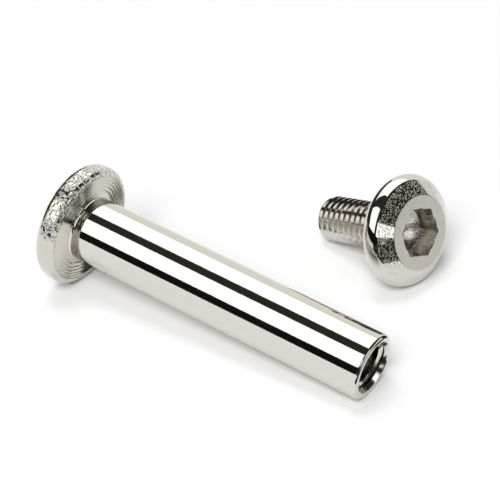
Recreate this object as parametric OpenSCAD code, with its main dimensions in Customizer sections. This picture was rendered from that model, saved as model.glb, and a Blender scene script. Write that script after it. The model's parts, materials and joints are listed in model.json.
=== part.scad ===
// Luggage wheel rivet: a flanged barrel that a wheel turns on, and the socket screw that closes its open end.
// The two pieces lie apart on the floor, as they do when the screw has been taken out.

/* [Barrel] */
// Outside diameter of the barrel
barrel_d = 7; // [6.6:0.1:10]
// Length of the barrel, from the flange to the open end
barrel_l = 35; // [22:0.5:60]
// Rounding of the outside edge at the open end
lip_edge = 0.35; // [0.1:0.05:0.4]
// Flat land between that rounding and the countersink
lip_land = 0.35; // [0.05:0.05:0.5]
// Fillet where the barrel meets the flange
root_fillet = 0.3; // [0.1:0.05:1]

/* [Flange] */
// Diameter of the flange
flange_d = 13.3; // [11:0.1:20]
// Thickness of the flange
flange_t = 2.4; // [2:0.1:4]
// Rounding of the flange's edge on its outer face
flange_outer_edge = 1; // [0.3:0.1:1]
// Rounding of the flange's edge on the barrel's side
flange_inner_edge = 0.7; // [0.3:0.1:0.9]

/* [Thread] */
// Outside diameter of the screw's thread
thread_d = 5; // [4:0.1:5.4]
// Pitch of the thread
thread_pitch = 0.8; // [0.5:0.05:1]
// Plain length under the screw's head, where the thread has run out
thread_plain = 0.4; // [0.2:0.1:3]
// Depth of the bore past the tip of the screw when the screw is home
bore_spare = 4; // [1:0.5:8]
// Angle of the drilled end of the bore and of the socket
drill_angle = 118; // [90:1:135]

/* [Screw] */
// Length of the screw under its head
screw_l = 10; // [6:0.5:16]
// Chamfer at the tip of the screw
tip_chamfer = 0.5; // [0.2:0.1:0.8]
// Diameter of the head
head_d = 12.1; // [11:0.1:16]
// Height of the head
head_h = 3.3; // [3:0.1:5]
// Diameter of the flat face on the head
face_d = 8.1; // [7:0.1:9]
// Rounding of the head's rim
rim_edge = 1.25; // [0.4:0.05:1.4]

/* [Socket] */
// Width of the hexagon across its flats
socket_af = 5; // [3:0.5:5.5]
// Depth of the hexagon
socket_depth = 2.4; // [1.5:0.1:2.8]
// How far the countersink reaches past the hexagon's flats
socket_edge = 0.12; // [0.02:0.02:0.3]

/* [Layout] */
// Place of the screw's head along the barrel, from the flange
screw_along = 26.4; // [10:0.1:40]
// Clear floor between the barrel and the head of the screw
screw_gap = 9.8; // [4:0.1:30]
// Heading of the screw from the barrel's direction
screw_heading = -11; // [-80:1:80]
// Turn of the hexagon about the screw's axis
socket_turn = 9; // [0:1:59]

/* [Hidden] */
$fn = 96;
over = 1; // how far a cut runs past the surface that it opens

barrel_r = barrel_d / 2;
flange_r = flange_d / 2;
thread_r = thread_d / 2;
head_r = head_d / 2;
face_r = face_d / 2;
bore_r = (thread_d - thread_pitch) / 2;
bore_depth = screw_l + bore_spare;
mouth_r = barrel_r - lip_edge - lip_land;
socket_r = socket_af / sqrt(3);

// The groove of the screw's thread: its depth, how far its section stands out of the crests, and its helix.
// A crest starts at the chamfer on the side that the screw lies on, so that the screw rests on it.
groove_sides = 16;
groove_depth = 5 / 8 * sqrt(3) / 2 * thread_pitch;
groove_over = thread_pitch / 12;
first_crest = tip_chamfer - screw_l + thread_pitch / 20;
groove_start = first_crest - 1.5 * thread_pitch;
groove_steps = floor((-thread_plain - thread_pitch / 2 - groove_start) / thread_pitch * groove_sides);

// Corners of each turned outline: place along the axis, radius and rounding, both measured to the round's centre.
// The axis starts at the flange or under the head, and runs to the open end or to the face.
barrel_corners = [
    [flange_outer_edge - flange_t, flange_r - flange_outer_edge, flange_outer_edge],
    [-flange_inner_edge, flange_r - flange_inner_edge, flange_inner_edge],
    [barrel_l - lip_edge, barrel_r - lip_edge, lip_edge]
];
screw_corners = [
    [-screw_l, thread_r - tip_chamfer, 0],
    [tip_chamfer - screw_l, thread_r, 0],
    [rim_edge, head_r - rim_edge, rim_edge],
    [head_h, face_r, 0]
];

// Tilt at which a turned piece lies on a wide corner and a narrow one
function rest_tilt(wide, narrow) =
    let (drop = wide[1] - narrow[1], run = abs(wide[0] - narrow[0]))
    atan2(drop, run) - asin((narrow[2] - wide[2]) / norm([drop, run]));

// How far a turned piece reaches in a direction whose cosine to its axis is c
function reach(corners, c) = max([for (k = corners) k[0] * c + k[1] * sqrt(1 - c * c) + k[2]]);

barrel_tilt = rest_tilt(barrel_corners[1], barrel_corners[2]);
screw_tilt = rest_tilt(screw_corners[2], screw_corners[1]);
barrel_height = reach(barrel_corners, sin(barrel_tilt));
screw_height = reach(screw_corners, -sin(screw_tilt));

// Where the head's underside stands beside the barrel, and the box of the two pieces on the floor
screw_x = screw_along;
screw_y = barrel_r + screw_gap + head_r;
screw_cx = cos(screw_tilt) * cos(screw_heading);
screw_cy = cos(screw_tilt) * sin(screw_heading);
low_x = min(-reach(barrel_corners, -cos(barrel_tilt)), screw_x - reach(screw_corners, -screw_cx));
high_x = max(reach(barrel_corners, cos(barrel_tilt)), screw_x + reach(screw_corners, screw_cx));
low_y = min(-flange_r, screw_y - reach(screw_corners, -screw_cy));
high_y = max(flange_r, screw_y + reach(screw_corners, screw_cy));
mid_x = (low_x + high_x) / 2;
mid_y = (low_y + high_y) / 2;

plated_steel = [0.80, 0.78, 0.74];

// Half section of a disc from z0 to z1, with its edges rounded by e0 and e1
module disc_section(r, z0, z1, e0, e1) {
    translate([0, z0 + e0]) square([r, z1 - e1 - z0 - e0]);
    translate([0, z0]) square([r - e0, z1 - e1 - z0]);
    translate([0, z0 + e0]) square([r - e1, z1 - z0 - e0]);
    translate([r - e0, z0 + e0]) circle(e0);
    translate([r - e1, z1 - e1]) circle(e1);
}

// Half section of the barrel's outside: the flange, the fillet and the tube with its rounded lip
module barrel_outline() {
    disc_section(flange_r, -flange_t, 0, flange_outer_edge, flange_inner_edge);
    translate([0, -flange_t / 2]) square([barrel_r, barrel_l - lip_edge + flange_t / 2]);
    translate([0, barrel_l - 2 * lip_edge]) square([barrel_r - lip_edge, 2 * lip_edge]);
    translate([barrel_r - lip_edge, barrel_l - lip_edge]) circle(lip_edge);
    difference() {
        translate([barrel_r - root_fillet, -root_fillet]) square(2 * root_fillet);
        translate([barrel_r + root_fillet, root_fillet]) circle(root_fillet);
    }
}

// Half section of the drilled and countersunk bore
module bore_outline() {
    point_z = barrel_l - bore_depth - bore_r / tan(drill_angle / 2);
    polygon([
        [0, point_z],
        [bore_r, barrel_l - bore_depth],
        [bore_r, barrel_l - (mouth_r - bore_r)],
        [mouth_r + over, barrel_l + over],
        [0, barrel_l + over]
    ]);
}

// The barrel, turned in one piece and drilled blind from its open end
module barrel() {
    color(plated_steel)
    translate([-mid_x, -mid_y, barrel_height])
    rotate([0, 90 + barrel_tilt, 0])
    rotate_extrude()
    difference() {
        barrel_outline();
        bore_outline();
    }
}

// Half section of the screw: chamfered shank, and a head whose round rim runs into its flank
module screw_outline() {
    rim_x = head_r - rim_edge;
    slant = norm([face_r - rim_x, head_h - rim_edge]);
    flank_angle = atan2(head_h - rim_edge, face_r - rim_x) - acos(rim_edge / slant);
    polygon([
        [0, -screw_l],
        [thread_r - tip_chamfer, -screw_l],
        [thread_r, tip_chamfer - screw_l],
        [thread_r, 0],
        [rim_x, 0],
        [rim_x, rim_edge],
        [rim_x + rim_edge * cos(flank_angle), rim_edge + rim_edge * sin(flank_angle)],
        [face_r, head_h],
        [0, head_h]
    ]);
    translate([rim_x, rim_edge]) circle(rim_edge);
}

// Section of the thread's groove at one step along its helix: a basic metric profile with 60 degree flanks.
// In the last turn it rises out of the shank, so that the thread runs out under the head.
function groove_section(step) =
    let (
        turns = step / groove_sides,
        lift = max(0, 1 - (groove_steps - step) / groove_sides) * (groove_depth + groove_over)
    )
    [for (k = [[groove_over, 1], [-groove_depth, 1], [-groove_depth, -1], [groove_over, -1]])
        let (r = thread_r + k[0] + lift, half = thread_pitch * 7 / 16 + k[0] * tan(30))
        [r * cos(360 * turns), r * sin(360 * turns), groove_start + turns * thread_pitch + k[1] * half]];

// The right-hand groove that makes the thread, swept from past the tip to the run-out under the head
module thread_groove() {
    sides = [for (i = [0 : groove_steps - 1], k = [0 : 3], half = [0, 1])
        let (a = 4 * i + k, b = 4 * i + (k + 1) % 4)
        half == 0 ? [a, b, b + 4] : [a, b + 4, a + 4]];
    last = 4 * groove_steps;
    polyhedron(
        points = [for (i = [0 : groove_steps]) each groove_section(i)],
        faces = concat([[3, 2, 1, 0]], sides, [[last, last + 1, last + 2, last + 3]])
    );
}

// The hexagon, the countersink that breaks the edges of its flats, and its drilled end
module socket_cut() {
    floor_z = head_h - socket_depth;
    sink_r = socket_af / 2 + socket_edge;
    translate([0, 0, floor_z]) rotate([0, 0, socket_turn]) cylinder(r = socket_r, h = socket_depth + over, $fn = 6);
    translate([0, 0, head_h - sink_r]) cylinder(r1 = 0, r2 = sink_r + over, h = sink_r + over);
    drill_h = socket_af / 2 / tan(drill_angle / 2);
    translate([0, 0, floor_z - drill_h]) cylinder(r1 = 0, r2 = socket_af / 2, h = drill_h);
}

// The screw, with its head towards the open end of the barrel
module screw() {
    color(plated_steel)
    translate([screw_x - mid_x, screw_y - mid_y, screw_height])
    rotate([0, 90 - screw_tilt, screw_heading])
    difference() {
        rotate_extrude() screw_outline();
        socket_cut();
        thread_groove();
    }
}

barrel();
screw();
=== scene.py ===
import json
import math

import bpy
from mathutils import Matrix, Vector, noise


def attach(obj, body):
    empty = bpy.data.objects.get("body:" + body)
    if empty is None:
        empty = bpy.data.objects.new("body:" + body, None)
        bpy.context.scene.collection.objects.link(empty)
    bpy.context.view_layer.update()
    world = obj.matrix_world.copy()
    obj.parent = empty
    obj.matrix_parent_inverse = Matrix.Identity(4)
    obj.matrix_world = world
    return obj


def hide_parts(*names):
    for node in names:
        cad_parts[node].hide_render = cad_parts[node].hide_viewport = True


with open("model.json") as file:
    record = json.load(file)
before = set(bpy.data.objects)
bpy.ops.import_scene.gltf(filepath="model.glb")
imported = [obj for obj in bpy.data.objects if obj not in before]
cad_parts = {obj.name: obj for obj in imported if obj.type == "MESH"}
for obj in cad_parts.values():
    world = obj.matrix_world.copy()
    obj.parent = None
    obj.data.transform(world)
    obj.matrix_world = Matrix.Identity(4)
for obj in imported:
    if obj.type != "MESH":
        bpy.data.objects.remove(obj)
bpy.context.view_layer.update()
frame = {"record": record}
mounts = {mount["name"]: mount for mount in frame["record"]["mounts"]}

# Barrel
# A flanged steel barrel, turned from bar in one piece and plated with bright nickel. A wheel runs on its
# smooth outside, and the open end is countersunk, drilled blind and tapped for the screw. Sizes are in mm.
MM = 0.001
barrel_r = mounts["barrel_journal"]["dims"]["r_mm"]
barrel_l = 35.0
lip_edge = 0.35
lip_land = 0.35
root_fillet = 0.3
flange_r = 6.65
flange_t = 2.4
flange_outer_edge = 1.0
flange_inner_edge = 0.7
ring_pitch = 0.6
ring_slope = 0.36
ring_crowding = 0.28
ring_fall = 0.72
ring_rise = 0.28
ring_points = 90
ring_fade = 4
outer_face_loop = 2.5
rim_loops = 8
rim_straight = flange_t - flange_outer_edge - flange_inner_edge
rim_reach = 0.2
pebble_size = 0.5
pebble_depth = 0.05
pebble_start = 0.05
pebble_fade = 0.2
barrel_sides = 300
sliver = 0.0005
sharp_angle = math.radians(28)
barrel_axis = Vector(mounts["barrel_journal"]["axis"]).normalized()
journal_middle = (root_fillet + barrel_l - lip_edge) / 2
barrel_foot = Vector(mounts["barrel_journal"]["pos_m"]) - barrel_axis * journal_middle * MM


def arc(centre_r, centre_z, radius, start, end, steps):
    """Points of a rounded corner, from one angle to another in degrees."""
    turns = [math.radians(start + (end - start) * i / steps) for i in range(steps + 1)]
    return [(centre_r + radius * math.cos(t), centre_z + radius * math.sin(t)) for t in turns]


def draw(name, outline, closed=False):
    """Draw an outline of (radius, height) points in the XZ plane, one extruded edge after another."""
    bpy.ops.object.select_all(action="DESELECT")
    bpy.ops.mesh.primitive_plane_add(size=0.01)
    piece = bpy.context.object
    piece.name = name
    bpy.ops.object.mode_set(mode="EDIT")
    bpy.ops.mesh.select_all(action="SELECT")
    bpy.ops.mesh.merge(type="CENTER")
    bpy.ops.transform.translate(value=(outline[0][0], 0.0, outline[0][1]))
    for last, point in zip(outline, outline[1:]):
        move = (point[0] - last[0], 0.0, point[1] - last[1])
        bpy.ops.mesh.extrude_vertices_move(TRANSFORM_OT_translate={"value": move})
    if closed:
        bpy.ops.mesh.select_all(action="DESELECT")
        bpy.ops.object.mode_set(mode="OBJECT")
        piece.data.vertices[0].select = True
        piece.data.vertices[len(outline) - 1].select = True
        bpy.ops.object.mode_set(mode="EDIT")
        bpy.ops.mesh.edge_face_add()
    bpy.ops.object.mode_set(mode="OBJECT")
    return piece


def sweep(piece, steps, turns=1, pitch=0.0):
    """Turn the active outline about Z: once as on a lathe, or along a helix of the given pitch."""
    spin = piece.modifiers.new("Spin", "SCREW")
    spin.axis = "Z"
    spin.angle = math.tau
    spin.screw_offset = pitch
    spin.iterations = turns
    spin.steps = steps
    spin.render_steps = steps
    bpy.ops.object.modifier_apply(modifier=spin.name)
    bpy.ops.object.mode_set(mode="EDIT")
    bpy.ops.mesh.select_all(action="SELECT")
    bpy.ops.mesh.remove_doubles(threshold=1e-5)
    if pitch:
        bpy.ops.mesh.fill_holes(sides=12)
        bpy.ops.mesh.select_all(action="SELECT")
    bpy.ops.mesh.normals_make_consistent(inside=False)
    bpy.ops.object.mode_set(mode="OBJECT")


def cut(piece, cutter):
    """Cut one piece with another, which is then thrown away, and clear the slivers that the cut leaves."""
    bpy.ops.object.select_all(action="DESELECT")
    bpy.context.view_layer.objects.active = piece
    piece.select_set(True)
    trim = piece.modifiers.new("Cut", "BOOLEAN")
    trim.operation = "DIFFERENCE"
    trim.solver = "EXACT"
    trim.object = cutter
    bpy.ops.object.modifier_apply(modifier=trim.name)
    bpy.data.objects.remove(cutter)
    bpy.ops.object.mode_set(mode="EDIT")
    bpy.ops.mesh.select_all(action="SELECT")
    bpy.ops.mesh.remove_doubles(threshold=sliver)
    bpy.ops.mesh.dissolve_degenerate(threshold=sliver)
    bpy.ops.object.mode_set(mode="OBJECT")


def lay_down(piece, foot, axis):
    """Put a piece that was made upright in mm on its axis in the frame, with its own X downwards."""
    down = Vector((0, 0, -1))
    side = (down - axis * down.dot(axis)).normalized()
    turned = Matrix((side, axis.cross(side), axis)).transposed().to_4x4()
    bpy.ops.object.select_all(action="DESELECT")
    bpy.context.view_layer.objects.active = piece
    piece.select_set(True)
    bpy.ops.object.shade_smooth_by_angle(angle=sharp_angle)
    piece.matrix_world = Matrix.Translation(foot) @ turned @ Matrix.Scale(MM, 4)
    bpy.ops.object.transform_apply(location=True, rotation=True, scale=True)
    return turned.to_euler()


def ring_height(radius):
    """Height of the flange's turned inner face: ridges that fall outwards, wide inside and close outside."""
    out = radius - barrel_r - root_fillet
    fall = out / ring_pitch * (1 + ring_crowding * out) % 1.0
    depth = ring_slope * ring_pitch / (1 + 2 * ring_crowding * out)
    return -depth * min(fall / ring_fall, (1.0 - fall) / ring_rise)


bore_r = mounts["barrel_thread"]["dims"]["r_mm"]
bore_depth = 14.0
drill_angle = 118
drill_slope = math.tan(math.radians(drill_angle / 2))
mouth_r = barrel_r - lip_edge - lip_land
face_start = flange_r - flange_inner_edge
face_end = barrel_r + root_fillet
outline = [(0.0, -flange_t), (outer_face_loop, -flange_t)]
outline += arc(flange_r - flange_outer_edge, flange_outer_edge - flange_t, flange_outer_edge, -90, 0, 16)
for i in range(1, rim_loops):
    outline.append((flange_r, flange_outer_edge - flange_t + i / rim_loops * rim_straight))
outline += arc(face_start, -flange_inner_edge, flange_inner_edge, 0, 90, 12)
for i in range(1, ring_points):
    radius = face_start + (face_end - face_start) * i / ring_points
    fade = min(1, i / ring_fade, (ring_points - i) / ring_fade)
    outline.append((radius, ring_height(radius) * fade))
outline += arc(face_end, root_fillet, root_fillet, 270, 180, 8)
outline += arc(barrel_r - lip_edge, barrel_l - lip_edge, lip_edge, 0, 90, 10)
outline += [(mouth_r, barrel_l), (bore_r, barrel_l - (mouth_r - bore_r)), (bore_r, barrel_l - bore_depth)]
outline += [(0.0, barrel_l - bore_depth - bore_r / drill_slope)]
barrel = draw("barrel_plated", outline)
sweep(barrel, barrel_sides)
for vertex in barrel.data.vertices:
    if vertex.co.z < -pebble_start and vertex.co.xy.length > face_start - rim_reach:
        dent = 0.5 + 0.5 * noise.noise(vertex.co / pebble_size)
        vertex.co -= vertex.normal * pebble_depth * dent * min(1.0, -vertex.co.z / pebble_fade)

# Thread of the barrel
# A right-hand M5 thread, cut into the wall of the bore by a tap with 60 degree flanks. It starts in the
# countersink of the mouth and runs deeper than the screw reaches.
thread_r = 2.5
thread_pitch = 0.8
half_groove = thread_pitch * 7 / 16
flank_slope = math.tan(math.radians(30))
helix_steps = 72
tap_clearance = 0.03
tap_inset = 0.2
tap_turns = 16
tap_lead = 2.3
tap_r = thread_r + tap_clearance
tap_foot = bore_r - tap_inset
half_root = half_groove - (tap_r - bore_r) * flank_slope
section = [(tap_foot, -half_groove), (bore_r, -half_groove), (tap_r, -half_root)]
section += [(radius, -height) for radius, height in reversed(section)]
tap_start = barrel_l + tap_lead * thread_pitch - tap_turns * thread_pitch
tap = draw("tap", [(radius, tap_start + height) for radius, height in section], closed=True)
sweep(tap, helix_steps, tap_turns, thread_pitch)
cut(barrel, tap)

# Plating of the barrel
# Bright nickel over the turned steel. The outside of the barrel is mirror smooth, the upper side of the
# flange's rim has the pebbled skin of the bar under its plating, and fine tool marks run round both of the
# flange's faces.
NICKEL = (0.67, 0.653, 0.605, 1.0)
ROUGH_NICKEL = (0.63, 0.613, 0.56, 1.0)
# The flange's turned faces get a darker nickel than the rest: painted shade, standing in for the shadowed
# paper and the barrel that they mirror. Their tool marks are real bumps.
TURNED_NICKEL_PAINTED_SHADE = (0.58, 0.565, 0.505, 1.0)
MIRROR, PEBBLED, TURNED, TAPPED = range(4)
ring_wave = 0.314
rim_smooth = 0.75
slack = 0.02


def plating(name, roughness, foot, turned, shade=NICKEL):
    """A metal material with its own upright coordinates; returns its nodes, links, shader and coordinates."""
    material = bpy.data.materials.new(name)
    material.use_nodes = True
    nodes, links = material.node_tree.nodes, material.node_tree.links
    shader = nodes["Principled BSDF"]
    shader.inputs["Base Color"].default_value = shade
    shader.inputs["Metallic"].default_value = 1.0
    shader.inputs["Roughness"].default_value = roughness
    place = nodes.new("ShaderNodeTexCoord")
    upright = nodes.new("ShaderNodeMapping")
    upright.vector_type = "TEXTURE"
    upright.inputs["Location"].default_value = foot
    upright.inputs["Rotation"].default_value = turned
    upright.inputs["Scale"].default_value = (MM, MM, MM)
    links.new(place.outputs["Object"], upright.inputs["Vector"])
    return material, nodes, links, shader, upright.outputs["Vector"]


def grain(nodes, links, vector, size, detail, stretch=(1, 1, 1)):
    """Noise with grains of a size in mm, drawn out along the piece's own axes."""
    spread = nodes.new("ShaderNodeVectorMath")
    spread.operation = "DIVIDE"
    spread.inputs[1].default_value = [size * s for s in stretch]
    grains = nodes.new("ShaderNodeTexNoise")
    grains.inputs["Scale"].default_value = 1.0
    grains.inputs["Detail"].default_value = detail
    links.new(vector, spread.inputs[0])
    links.new(spread.outputs["Vector"], grains.inputs["Vector"])
    return grains.outputs["Fac"]


def emboss(nodes, links, height, depth, below=None, share=None):
    """Bump of a depth in mm from a height between 0 and 1, over another bump, and only where share is 1."""
    bump = nodes.new("ShaderNodeBump")
    bump.inputs["Distance"].default_value = depth * MM
    links.new(height, bump.inputs["Height"])
    if below:
        links.new(below, bump.inputs["Normal"])
    if share:
        links.new(share, bump.inputs["Strength"])
    return bump.outputs["Normal"]


def vary_roughness(nodes, links, shader, value, low, high):
    """Let a value between about 0.3 and 0.7 carry the roughness from low to high."""
    spread = nodes.new("ShaderNodeMapRange")
    spread.inputs["From Min"].default_value = 0.3
    spread.inputs["From Max"].default_value = 0.7
    spread.inputs["To Min"].default_value = low
    spread.inputs["To Max"].default_value = high
    links.new(value, spread.inputs["Value"])
    links.new(spread.outputs["Result"], shader.inputs["Roughness"])


def smooth_step(nodes, links, value, start, end):
    """A soft step from 0 to 1, as a value goes from start to end."""
    step = nodes.new("ShaderNodeMapRange")
    step.interpolation_type = "SMOOTHSTEP"
    step.inputs["From Min"].default_value = start
    step.inputs["From Max"].default_value = end
    links.new(value, step.inputs["Value"])
    return step.outputs["Result"]


def tool_marks(nodes, links, vector, spacing):
    """Fine rings about the piece's own axis, with a spacing in mm."""
    rings = nodes.new("ShaderNodeTexWave")
    rings.wave_type = "RINGS"
    rings.rings_direction = "Z"
    rings.inputs["Scale"].default_value = ring_wave / spacing
    rings.inputs["Distortion"].default_value = 1.5
    rings.inputs["Detail"].default_value = 2.0
    rings.inputs["Detail Scale"].default_value = 1.2
    links.new(vector, rings.inputs["Vector"])
    return rings.outputs["Fac"]


def mirror_plating(name, foot, turned):
    """Polished nickel, a little clouded."""
    material, nodes, links, shader, vector = plating(name, 0.05, foot, turned)
    clouds = grain(nodes, links, vector, 2.5, 3.0)
    vary_roughness(nodes, links, shader, clouds, 0.03, 0.075)
    polish = grain(nodes, links, vector, 0.12, 2.0, (1, 1, 4))
    links.new(emboss(nodes, links, polish, 0.0006), shader.inputs["Normal"])
    return material


def pebbled_plating(name, foot, turned):
    """Nickel over a rough skin, whose pebbles show on the upper side of the lying piece."""
    material, nodes, links, shader, vector = plating(name, 0.1, foot, turned, ROUGH_NICKEL)
    pebbles = grain(nodes, links, vector, 0.56, 2.0)
    pits = smooth_step(nodes, links, pebbles, 0.42, 0.58)
    place = nodes.new("ShaderNodeSeparateXYZ")
    links.new(vector, place.inputs["Vector"])
    upper_side = smooth_step(nodes, links, place.outputs["X"], -1.0, -3.0)
    skin = emboss(nodes, links, pits, 0.1, share=upper_side)
    fine = grain(nodes, links, vector, 0.1, 2.0)
    vary_roughness(nodes, links, shader, fine, 0.02, 0.06)
    links.new(emboss(nodes, links, fine, 0.01, skin), shader.inputs["Normal"])
    return material


def turned_plating(name, foot, turned, roughness, spacing, depth, shade):
    """Nickel over a turned face, with tool marks of a spacing and a depth in mm."""
    material, nodes, links, shader, vector = plating(name, roughness, foot, turned, shade)
    marks = tool_marks(nodes, links, vector, spacing)
    skin = emboss(nodes, links, marks, depth)
    blotches = grain(nodes, links, vector, 0.5, 3.0)
    vary_roughness(nodes, links, shader, blotches, roughness * 0.8, roughness * 1.3)
    links.new(skin, shader.inputs["Normal"])
    return material


def tapped_plating(name, foot, turned):
    """Nickel over a thread, finely scuffed."""
    material, nodes, links, shader, vector = plating(name, 0.1, foot, turned)
    scuffs = grain(nodes, links, vector, 0.15, 3.0)
    vary_roughness(nodes, links, shader, scuffs, 0.06, 0.15)
    links.new(emboss(nodes, links, scuffs, 0.006), shader.inputs["Normal"])
    return material


def finish_zones(piece, zone_of):
    """Give each face the number of the finish that belongs where the face lies on the upright piece."""
    for face in piece.data.polygons:
        centre = face.center
        face.material_index = zone_of(math.hypot(centre.x, centre.y), centre.z)


def barrel_zone(radius, height):
    """Finish of the barrel: the flange's outer face and edge, its rim, its inner face, the bore, the rest."""
    if height < -flange_t + slack / 2:
        return TURNED
    if height < -flange_t + rim_smooth:
        return MIRROR
    if height < -slack / 10 and radius > face_start + slack:
        return PEBBLED
    if height < slack and radius > barrel_r + 5 * slack:
        return TURNED
    if radius < mouth_r + slack / 2 and height > 1:
        return TAPPED
    return MIRROR


finish_zones(barrel, barrel_zone)
turned = lay_down(barrel, barrel_foot, barrel_axis)
barrel.data.materials.append(mirror_plating("nickel_mirror", barrel_foot, turned))
barrel.data.materials.append(pebbled_plating("nickel_pebbled", barrel_foot, turned))
face_finish_painted_shade = turned_plating("nickel_turned_painted_shade", barrel_foot, turned, 0.08, 0.09, 0.002, TURNED_NICKEL_PAINTED_SHADE)
barrel.data.materials.append(face_finish_painted_shade)
barrel.data.materials.append(tapped_plating("nickel_tapped", barrel_foot, turned))
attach(barrel, "root")
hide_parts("barrel")

# Screw
# A cold-headed steel screw, plated like the barrel. Its low head has a round rim, a cone-shaped flank and
# a flat face with a hexagon for the key, and its rolled right-hand thread ends in a chamfer.
screw_l = 10.0
tip_chamfer = 0.5
head_r = 6.05
head_h = 3.3
head_face_r = 4.05
rim_edge = 1.25
face_edge = 0.12
face_border = 0.2
face_loop = 3.1
neck_fillet = 0.2
screw_sides = 192
screw_axis = -Vector(mounts["screw_thread"]["axis"]).normalized()
screw_foot = Vector(mounts["screw_thread"]["pos_m"]) + screw_axis * (screw_l - tip_chamfer) / 2 * MM
rim_centre_r = head_r - rim_edge
slant = math.hypot(head_face_r - rim_centre_r, head_h - rim_edge)
to_face = math.degrees(math.atan2(head_h - rim_edge, head_face_r - rim_centre_r))
flank_angle = to_face - math.degrees(math.acos(rim_edge / slant))
outline = [(0.0, -screw_l), (thread_r - tip_chamfer, -screw_l), (thread_r, tip_chamfer - screw_l)]
outline += arc(thread_r + neck_fillet, -neck_fillet, neck_fillet, 180, 90, 6)
outline += arc(rim_centre_r, rim_edge, rim_edge, -90, flank_angle, 20)
turn_in = face_edge * math.tan(math.radians(90 - flank_angle) / 2)
outline += arc(head_face_r - turn_in, head_h - face_edge, face_edge, flank_angle, 90, 6)
outline += [(head_face_r - face_border, head_h), (face_loop, head_h), (0.0, head_h)]
screw = draw("screw_plated", outline)
sweep(screw, screw_sides)

# Hexagon of the screw
# A 5 mm hexagon, punched into the face after a countersink just wider than its flats was pressed, over
# the cone that the drill left.
key_width = 5.0
key_depth = 2.4
key_turn = math.radians(9)
key_edge = 0.12
corner_turn = math.radians(30)
drill_overlap = 0.01
cutter_sides = 96
over = 1.0
key_r = key_width / math.sqrt(3)
sink_r = key_width / 2 + key_edge
bpy.ops.object.select_all(action="DESELECT")
bpy.ops.mesh.primitive_cylinder_add(
    vertices=6, radius=key_r, depth=key_depth + over, location=(0, 0, head_h - (key_depth - over) / 2),
    rotation=(0, 0, key_turn + corner_turn))
cut(screw, bpy.context.object)
section = [(0.0, head_h - sink_r), (sink_r + over, head_h + over), (0.0, head_h + over)]
countersink = draw("countersink", section)
sweep(countersink, cutter_sides)
cut(screw, countersink)
drill_r = key_width / 2 - drill_overlap
drill_top = head_h - key_depth + drill_overlap
drill = draw("drill", [(0.0, drill_top - drill_r / drill_slope), (drill_r, drill_top), (0.0, drill_top)])
sweep(drill, cutter_sides)
cut(screw, drill)

# Thread of the screw
# The groove of the same M5 thread, rolled from the tip almost to the head, where it runs out.
thread_depth = 0.47
die_over = 0.1
die_turns = 12
die_lead = 1.5
first_crest = tip_chamfer - screw_l + thread_pitch / 20
root_r = thread_r - thread_depth
die_top = thread_r + die_over
half_root = half_groove - (thread_r - root_r) * flank_slope
section = [(die_top, -half_groove), (thread_r, -half_groove), (root_r, -half_root)]
section += [(radius, -height) for radius, height in reversed(section)]
die_start = first_crest - die_lead * thread_pitch
die = draw("die", [(radius, die_start + height) for radius, height in section], closed=True)
sweep(die, helix_steps, die_turns, thread_pitch)
for vertex in die.data.vertices:
    part_turn = math.atan2(vertex.co.y, vertex.co.x) / math.tau
    turn = part_turn + round((vertex.co.z - die_start) / thread_pitch - part_turn)
    rise = max(0.0, 1 - (die_turns - turn)) * (die_top - root_r)
    stretch = 1 + rise / math.hypot(vertex.co.x, vertex.co.y)
    vertex.co.x *= stretch
    vertex.co.y *= stretch
cut(screw, die)

# Plating of the screw
# The same bright nickel over cold-headed steel. The flank is finely pitted and the face is satin, the walls
# of the hexagon are streaked by the punch, and the round rim is mirror smooth.
# The screw's satin face and the underside of its head get a darker nickel: painted shade, standing in for the
# darker room that they mirror. Their satin roughness and tool marks are real.
SATIN_NICKEL_PAINTED_SHADE = (0.51, 0.495, 0.44, 1.0)
SPECKLED, SATIN, BROACHED, ROLLED, RIM, PUNCHED = range(6)
shank_top = -0.3
underside_top = 0.3
punch_reach = 0.1
punch_floor = -0.8


def speckled_plating(name, foot, turned):
    """Nickel over a finely pitted skin."""
    material, nodes, links, shader, vector = plating(name, 0.12, foot, turned)
    specks = grain(nodes, links, vector, 0.15, 1.0)
    vary_roughness(nodes, links, shader, specks, 0.05, 0.12)
    pits = smooth_step(nodes, links, specks, 0.55, 0.72)
    links.new(emboss(nodes, links, pits, 0.022), shader.inputs["Normal"])
    return material


def broached_plating(name, foot, turned):
    """Nickel over walls that the punch has streaked along the axis."""
    material, nodes, links, shader, vector = plating(name, 0.14, foot, turned)
    streaks = grain(nodes, links, vector, 0.25, 3.0, (1, 1, 8))
    vary_roughness(nodes, links, shader, streaks, 0.04, 0.14)
    links.new(emboss(nodes, links, streaks, 0.08), shader.inputs["Normal"])
    return material


def punched_plating(name, foot, turned):
    """Nickel over the scuffed end of the hexagon."""
    material, nodes, links, shader, vector = plating(name, 0.22, foot, turned)
    scuffs = grain(nodes, links, vector, 0.3, 3.0)
    vary_roughness(nodes, links, shader, scuffs, 0.14, 0.3)
    links.new(emboss(nodes, links, scuffs, 0.03), shader.inputs["Normal"])
    return material


def screw_zone(radius, height):
    """Finish of the screw: the face, the hexagon's walls and end, the shank, the underside, rim and flank."""
    drill_point = head_h - key_depth - drill_r / drill_slope
    if height > head_h - slack and radius > key_width / 2:
        return SATIN
    if radius < key_r + slack and height > head_h - key_depth + slack:
        return BROACHED
    if radius < key_r + slack and height > punch_floor and height > drill_point - punch_reach:
        return PUNCHED
    if height < shank_top:
        return ROLLED
    if height < underside_top and radius < rim_centre_r:
        return SATIN
    if height < rim_edge + rim_edge * math.sin(math.radians(flank_angle)):
        return RIM
    return SPECKLED


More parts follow.
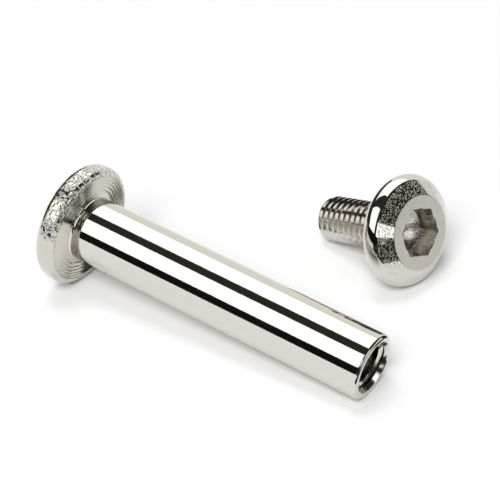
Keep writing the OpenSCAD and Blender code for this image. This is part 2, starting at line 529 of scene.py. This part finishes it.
finish_zones(screw, screw_zone)
turned = lay_down(screw, screw_foot, screw_axis)
screw.data.materials.append(speckled_plating("nickel_speckled", screw_foot, turned))
face_finish_painted_shade = turned_plating("nickel_satin_painted_shade", screw_foot, turned, 0.2, 0.14, 0.003, SATIN_NICKEL_PAINTED_SHADE)
screw.data.materials.append(face_finish_painted_shade)
screw.data.materials.append(broached_plating("nickel_broached", screw_foot, turned))
screw.data.materials.append(tapped_plating("nickel_rolled", screw_foot, turned))
screw.data.materials.append(mirror_plating("nickel_rim", screw_foot, turned))
screw.data.materials.append(punched_plating("nickel_punched", screw_foot, turned))
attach(screw, "root")
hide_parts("screw")

# Floor
# A plain white sheet under the rivet, which keeps the soft shadows of the two pieces.
floor_size = 4.0
floor_drop = 0.00001
bpy.ops.object.select_all(action="DESELECT")
bpy.ops.mesh.primitive_plane_add(size=floor_size, location=(0, 0, -floor_drop))
floor = bpy.context.object
floor.name = "floor"
paper = bpy.data.materials.new("white_paper")
paper.use_nodes = True
paper_shader = paper.node_tree.nodes["Principled BSDF"]
paper_shader.inputs["Base Color"].default_value = (0.95, 0.95, 0.95, 1)
paper_shader.inputs["Roughness"].default_value = 0.9
paper_shader.inputs["Specular IOR Level"].default_value = 0.0
floor.data.materials.append(paper)

# Studio light
# Two soft lamps light the white paper in a pale room. What the metal mirrors comes from cards that only it
# sees: long white boxes in front and behind, dark cards between them that draw the two stripes on the
# barrel, and small dark ones by the open end and the screw. The two that lie flat on the paper by the open
# end are painted shadow: in the metal's reflections they stand in for the barrel's contact shadow there.
scene = bpy.context.scene
scene.view_settings.view_transform = "Standard"
room = bpy.data.worlds.new("pale_room")
scene.world = room
room.use_nodes = True
nodes, links = room.node_tree.nodes, room.node_tree.links
background = nodes["Background"]
background.inputs["Color"].default_value = (1, 1, 1, 1)
path = nodes.new("ShaderNodeLightPath")
mirrored = nodes.new("ShaderNodeMath")
mirrored.operation = "MAXIMUM"
links.new(path.outputs["Is Glossy Ray"], mirrored.inputs[0])
links.new(path.outputs["Is Transmission Ray"], mirrored.inputs[1])
seen = nodes.new("ShaderNodeMath")
seen.operation = "MAXIMUM"
links.new(path.outputs["Is Camera Ray"], seen.inputs[0])
links.new(mirrored.outputs["Value"], seen.inputs[1])
level = nodes.new("ShaderNodeMapRange")
level.inputs["To Min"].default_value = 0.35
level.inputs["To Max"].default_value = 1.0
links.new(seen.outputs["Value"], level.inputs["Value"])
links.new(level.outputs["Result"], background.inputs["Strength"])


def around_barrel(elevation, distance, along):
    """A point about the barrel's axis: 0 degrees is the horizon in front, 90 overhead, 180 the one behind."""
    angle = math.radians(elevation)
    return Vector((along, -distance * math.cos(angle), distance * math.sin(angle)))


def facing(place, along):
    """Rotation that turns an object's back, its -Z, to a point on the barrel's line."""
    return (Vector((along, 0, 0)) - place).to_track_quat("-Z", "X").to_euler()


def card(name, place, rotation, width, length, shade):
    """A card that only the metal sees, in its reflections."""
    bpy.ops.object.select_all(action="DESELECT")
    bpy.ops.mesh.primitive_plane_add(size=1.0, location=place, rotation=rotation)
    sheet = bpy.context.object
    sheet.name = name
    sheet.scale = (width, length, 1)
    felt = bpy.data.materials.new(name)
    felt.use_nodes = True
    glow = felt.node_tree.nodes.new("ShaderNodeEmission")
    glow.inputs["Color"].default_value = (*shade, 1)
    surface = felt.node_tree.nodes["Material Output"].inputs["Surface"]
    felt.node_tree.links.new(glow.outputs["Emission"], surface)
    sheet.data.materials.append(felt)
    sheet.visible_camera = False
    sheet.visible_diffuse = False
    sheet.visible_transmission = False
    sheet.visible_shadow = False


def long_card(name, low, high, distance, length, along, shade):
    """A card along the barrel, that reaches from one elevation about its axis to another."""
    place = around_barrel((low + high) / 2, distance, along)
    width = 2 * distance * math.tan(math.radians(high - low) / 2)
    card(name, place, facing(place, along), width, length, shade)


def lamp(name, place, size, energy):
    """A soft lamp that lights the paper and casts its shadows, and that the metal doesn't mirror."""
    aim = (-place).to_track_quat("-Z", "Y").to_euler()
    bpy.ops.object.light_add(type="AREA", location=place, rotation=aim)
    soft_box = bpy.context.object
    soft_box.name = name
    soft_box.data.size = size
    soft_box.data.energy = energy
    soft_box.visible_camera = False
    soft_box.visible_glossy = False


lamp("top_lamp", Vector((-0.25, 0.0, 1.4)), 0.5, 4.4)
lamp("front_lamp", Vector((0.25, -0.95, 1.15)), 0.7, 16.5)
white = (1.65, 1.65, 1.65)
pale = (0.97, 0.95, 0.91)
dark = (0.03, 0.028, 0.022)
black = (0.008, 0.008, 0.008)
box_distance = 0.40
box_length = 0.56
box_along = -0.13
stripe_length = 1.2
stripe_along = -0.1
end_distance = 0.44
end_length = 0.51
end_along = 0.405
long_card("front_white", 24, 67, box_distance, box_length, box_along, white)
long_card("back_white", 92, 141, box_distance, box_length, box_along, white)
long_card("back_wall", 141, 178, box_distance, box_length, box_along, pale)
long_card("gap_card", 67, 92, 0.38, stripe_length, stripe_along, dark)
long_card("front_card", -4, 24, box_distance, stripe_length, stripe_along, black)
long_card("screw_white", 23, 50, box_distance, 0.3, 0.46, white)
long_card("dark_front", 24, 60, end_distance, end_length, end_along, dark)
long_card("dark_top", 60, 120, end_distance, end_length, end_along, dark)
long_card("dark_back", 120, 178, end_distance, end_length, end_along, dark)
flat = (0, 0, 0)
upright = (0, math.radians(90), 0)
card("dark_right", (0.66, 0, 0.25), upright, 0.5, 1.0, dark)
card("white_right", (0.45, 0.02, 0.17), upright, 0.14, 0.2, white)
card("dark_left", (-0.30, 0, 0.1), upright, 0.2, 0.7, dark)
card("dark_near", (0.032, -0.029, 0.005), upright, 0.01, 0.032, dark)
card("dark_beside", (0.0215, 0.002, 0.004), upright, 0.008, 0.012, dark)
# Painted shadow: two dark cards flat on the paper by the open end, which the countersink and the lip mirror
# in place of the barrel's contact shadow.
card("painted_shadow_low", (0.0265, -0.009, 0.0004), flat, 0.009, 0.018, dark)
card("painted_shadow_lip", (0.0193, -0.0068, 0.0003), flat, 0.001, 0.005, dark)

# Camera
# Looks down over the open end of the barrel, as the photograph does.
camera_lens = 122.4
camera_turn = math.radians(33.72)
camera_rise = math.radians(35.86)
camera_distance = 0.18778
camera_aim = Vector((-0.004835, 0.004387, 0))
back = Vector((
    math.sin(camera_turn) * math.cos(camera_rise),
    -math.cos(camera_turn) * math.cos(camera_rise),
    math.sin(camera_rise)))
bpy.ops.object.camera_add(
    location=camera_aim + back * camera_distance, rotation=(-back).to_track_quat("-Z", "Y").to_euler())
camera = bpy.context.object
camera.name = "camera"
camera.data.lens = camera_lens
camera.data.sensor_width = 36
camera.data.clip_start = 0.01
scene.camera = camera
